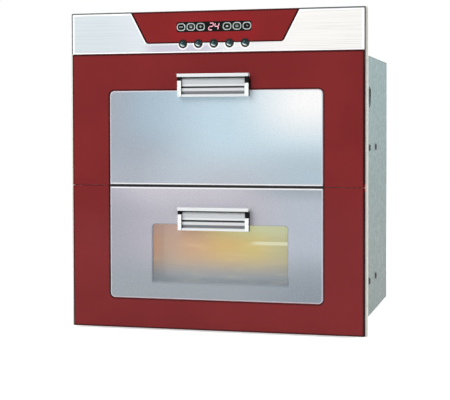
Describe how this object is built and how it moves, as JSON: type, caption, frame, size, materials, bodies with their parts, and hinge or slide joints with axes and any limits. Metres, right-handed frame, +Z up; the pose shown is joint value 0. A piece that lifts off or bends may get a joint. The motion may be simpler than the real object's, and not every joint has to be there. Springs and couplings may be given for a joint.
{
  "type": "dish sterilizer cabinet",
  "caption": "Built-in dish sterilizer cabinet: pull-out glass-fronted drawers on telescopic rails under a control strip with push buttons, in a sheet-metal body.",
  "frame": {"origin": "on the shelf, under the middle of the overall box", "axes": "+Z up, +Y from the glass fronts to the rear panel, +X to the right as seen from the front"},
  "size_m": [0.612, 0.523, 0.644],
  "materials": {
    "galvanised": "zinc-coated sheet, faint spangle",
    "cream_enamel": "cream-white baked enamel, satin",
    "stainless": "fine brushed stainless steel",
    "glass_wool": "pressed glass-wool board",
    "brushed_steel": "brushed stainless steel fascia",
    "black_plastic": "black moulded plastic",
    "red_glass": "tempered glass, wine red enamel on its rear face",
    "smoked_window": "smoked acrylic",
    "circuit_board": "glass-epoxy board with parts",
    "bezel_black": "gloss black ring",
    "quartz": "clear quartz tube",
    "quartz_milky": "milky quartz heater tube",
    "ceramic": "white glazed ceramic",
    "chromed_wire": "chromed steel wire",
    "white_plastic": "white moulded plastic",
    "zinc_screws": "bright zinc-plated steel",
    "rubber": "black rubber",
    "zinc_rail": "zinc-plated rolled steel",
    "frosted_pane": "silver-grey frosted tempered glass",
    "silicone": "grey silicone",
    "aluminium": "satin anodised aluminium extrusion",
    "silver_diecast": "satin silver zinc casting",
    "amber_glass": "amber heat-proof glass",
    "button_chrome": "polished chrome dome"
  },
  "bodies": {
    "cabinet": {"base_panel": "galvanised", "button_bezels": "bezel_black", "control_board": "circuit_board", "control_box": "galvanised", "control_carrier": "black_plastic", "control_fascia": "brushed_steel", "control_glass": "red_glass", "cord_gland": "black_plastic", "display_window": "smoked_window", "door_sensors": "white_plastic", "fan_housing": "black_plastic", "feet": "rubber", "front_frame": "cream_enamel", "heater_guard": "chromed_wire", "insulation_board": "glass_wool", "lamp_holders": "ceramic", "lower_liner": "stainless", "lower_outer_rails": "zinc_rail", "ozone_generator": "white_plastic", "power_board": "circuit_board", "quartz_heaters": "quartz_milky", "rail_screws": "zinc_screws", "rear_panel": "galvanised", "side_panel_left": "galvanised", "side_panel_right": "galvanised", "top_panel": "galvanised", "upper_liner": "stainless", "upper_outer_rails": "zinc_rail", "uv_lamp": "quartz"},
    "upper_drawer": {"cutlery_tray": "stainless", "upper_basket": "chromed_wire", "upper_door_frame": "black_plastic", "upper_door_liner": "stainless", "upper_door_seal": "silicone", "upper_glass_surround": "red_glass", "upper_handle": "aluminium", "upper_handle_inserts": "black_plastic", "upper_handle_posts": "silver_diecast", "upper_inner_rails": "zinc_rail", "upper_window_pane": "frosted_pane"},
    "lower_drawer": {"inner_window": "amber_glass", "lower_basket": "chromed_wire", "lower_door_frame": "black_plastic", "lower_door_liner": "stainless", "lower_door_seal": "silicone", "lower_glass_surround": "red_glass", "lower_handle": "aluminium", "lower_handle_inserts": "black_plastic", "lower_handle_posts": "silver_diecast", "lower_inner_rails": "zinc_rail", "lower_window_pane": "frosted_pane", "plate_racks": "chromed_wire"},
    "upper_rail_slides": {"upper_mid_rails": "zinc_rail"},
    "lower_rail_slides": {"lower_mid_rails": "zinc_rail"},
    "fan_wheel": {"fan_rotor": "black_plastic"},
    "button_cap_1": {"button_1": "button_chrome"},
    "button_cap_2": {"button_2": "button_chrome"},
    "button_cap_3": {"button_3": "button_chrome"},
    "button_cap_4": {"button_4": "button_chrome"},
    "button_cap_5": {"button_5": "button_chrome"}
  },
  "joints": [
    {"name": "upper_drawer_slide", "type": "slide", "parent": "cabinet", "child": "upper_drawer", "axis": [0, -1, 0], "range_m": [0, 0.36]},
    {"name": "upper_rail_slide", "type": "slide", "parent": "cabinet", "child": "upper_rail_slides", "axis": [0, -1, 0], "range_m": [0, 0.18]},
    {"name": "lower_drawer_slide", "type": "slide", "parent": "cabinet", "child": "lower_drawer", "axis": [0, -1, 0], "range_m": [0, 0.36]},
    {"name": "lower_rail_slide", "type": "slide", "parent": "cabinet", "child": "lower_rail_slides", "axis": [0, -1, 0], "range_m": [0, 0.18]},
    {"name": "fan_spin", "type": "hinge", "parent": "cabinet", "child": "fan_wheel", "pos_m": [0, 0.2037, 0.4398], "axis": [0, 1, 0], "continuous": true},
    {"name": "button_1_press", "type": "slide", "parent": "cabinet", "child": "button_cap_1", "axis": [0, 1, 0], "range_m": [0, 0.0015], "stiffness_N_per_m": 400},
    {"name": "button_2_press", "type": "slide", "parent": "cabinet", "child": "button_cap_2", "axis": [0, 1, 0], "range_m": [0, 0.0015], "stiffness_N_per_m": 400},
    {"name": "button_3_press", "type": "slide", "parent": "cabinet", "child": "button_cap_3", "axis": [0, 1, 0], "range_m": [0, 0.0015], "stiffness_N_per_m": 400},
    {"name": "button_4_press", "type": "slide", "parent": "cabinet", "child": "button_cap_4", "axis": [0, 1, 0], "range_m": [0, 0.0015], "stiffness_N_per_m": 400},
    {"name": "button_5_press", "type": "slide", "parent": "cabinet", "child": "button_cap_5", "axis": [0, 1, 0], "range_m": [0, 0.0015], "stiffness_N_per_m": 400}
  ],
  "couplings": [
    {"joint": "upper_rail_slide", "follows": "upper_drawer_slide", "ratio": 0.5},
    {"joint": "lower_rail_slide", "follows": "lower_drawer_slide", "ratio": 0.5}
  ]
}
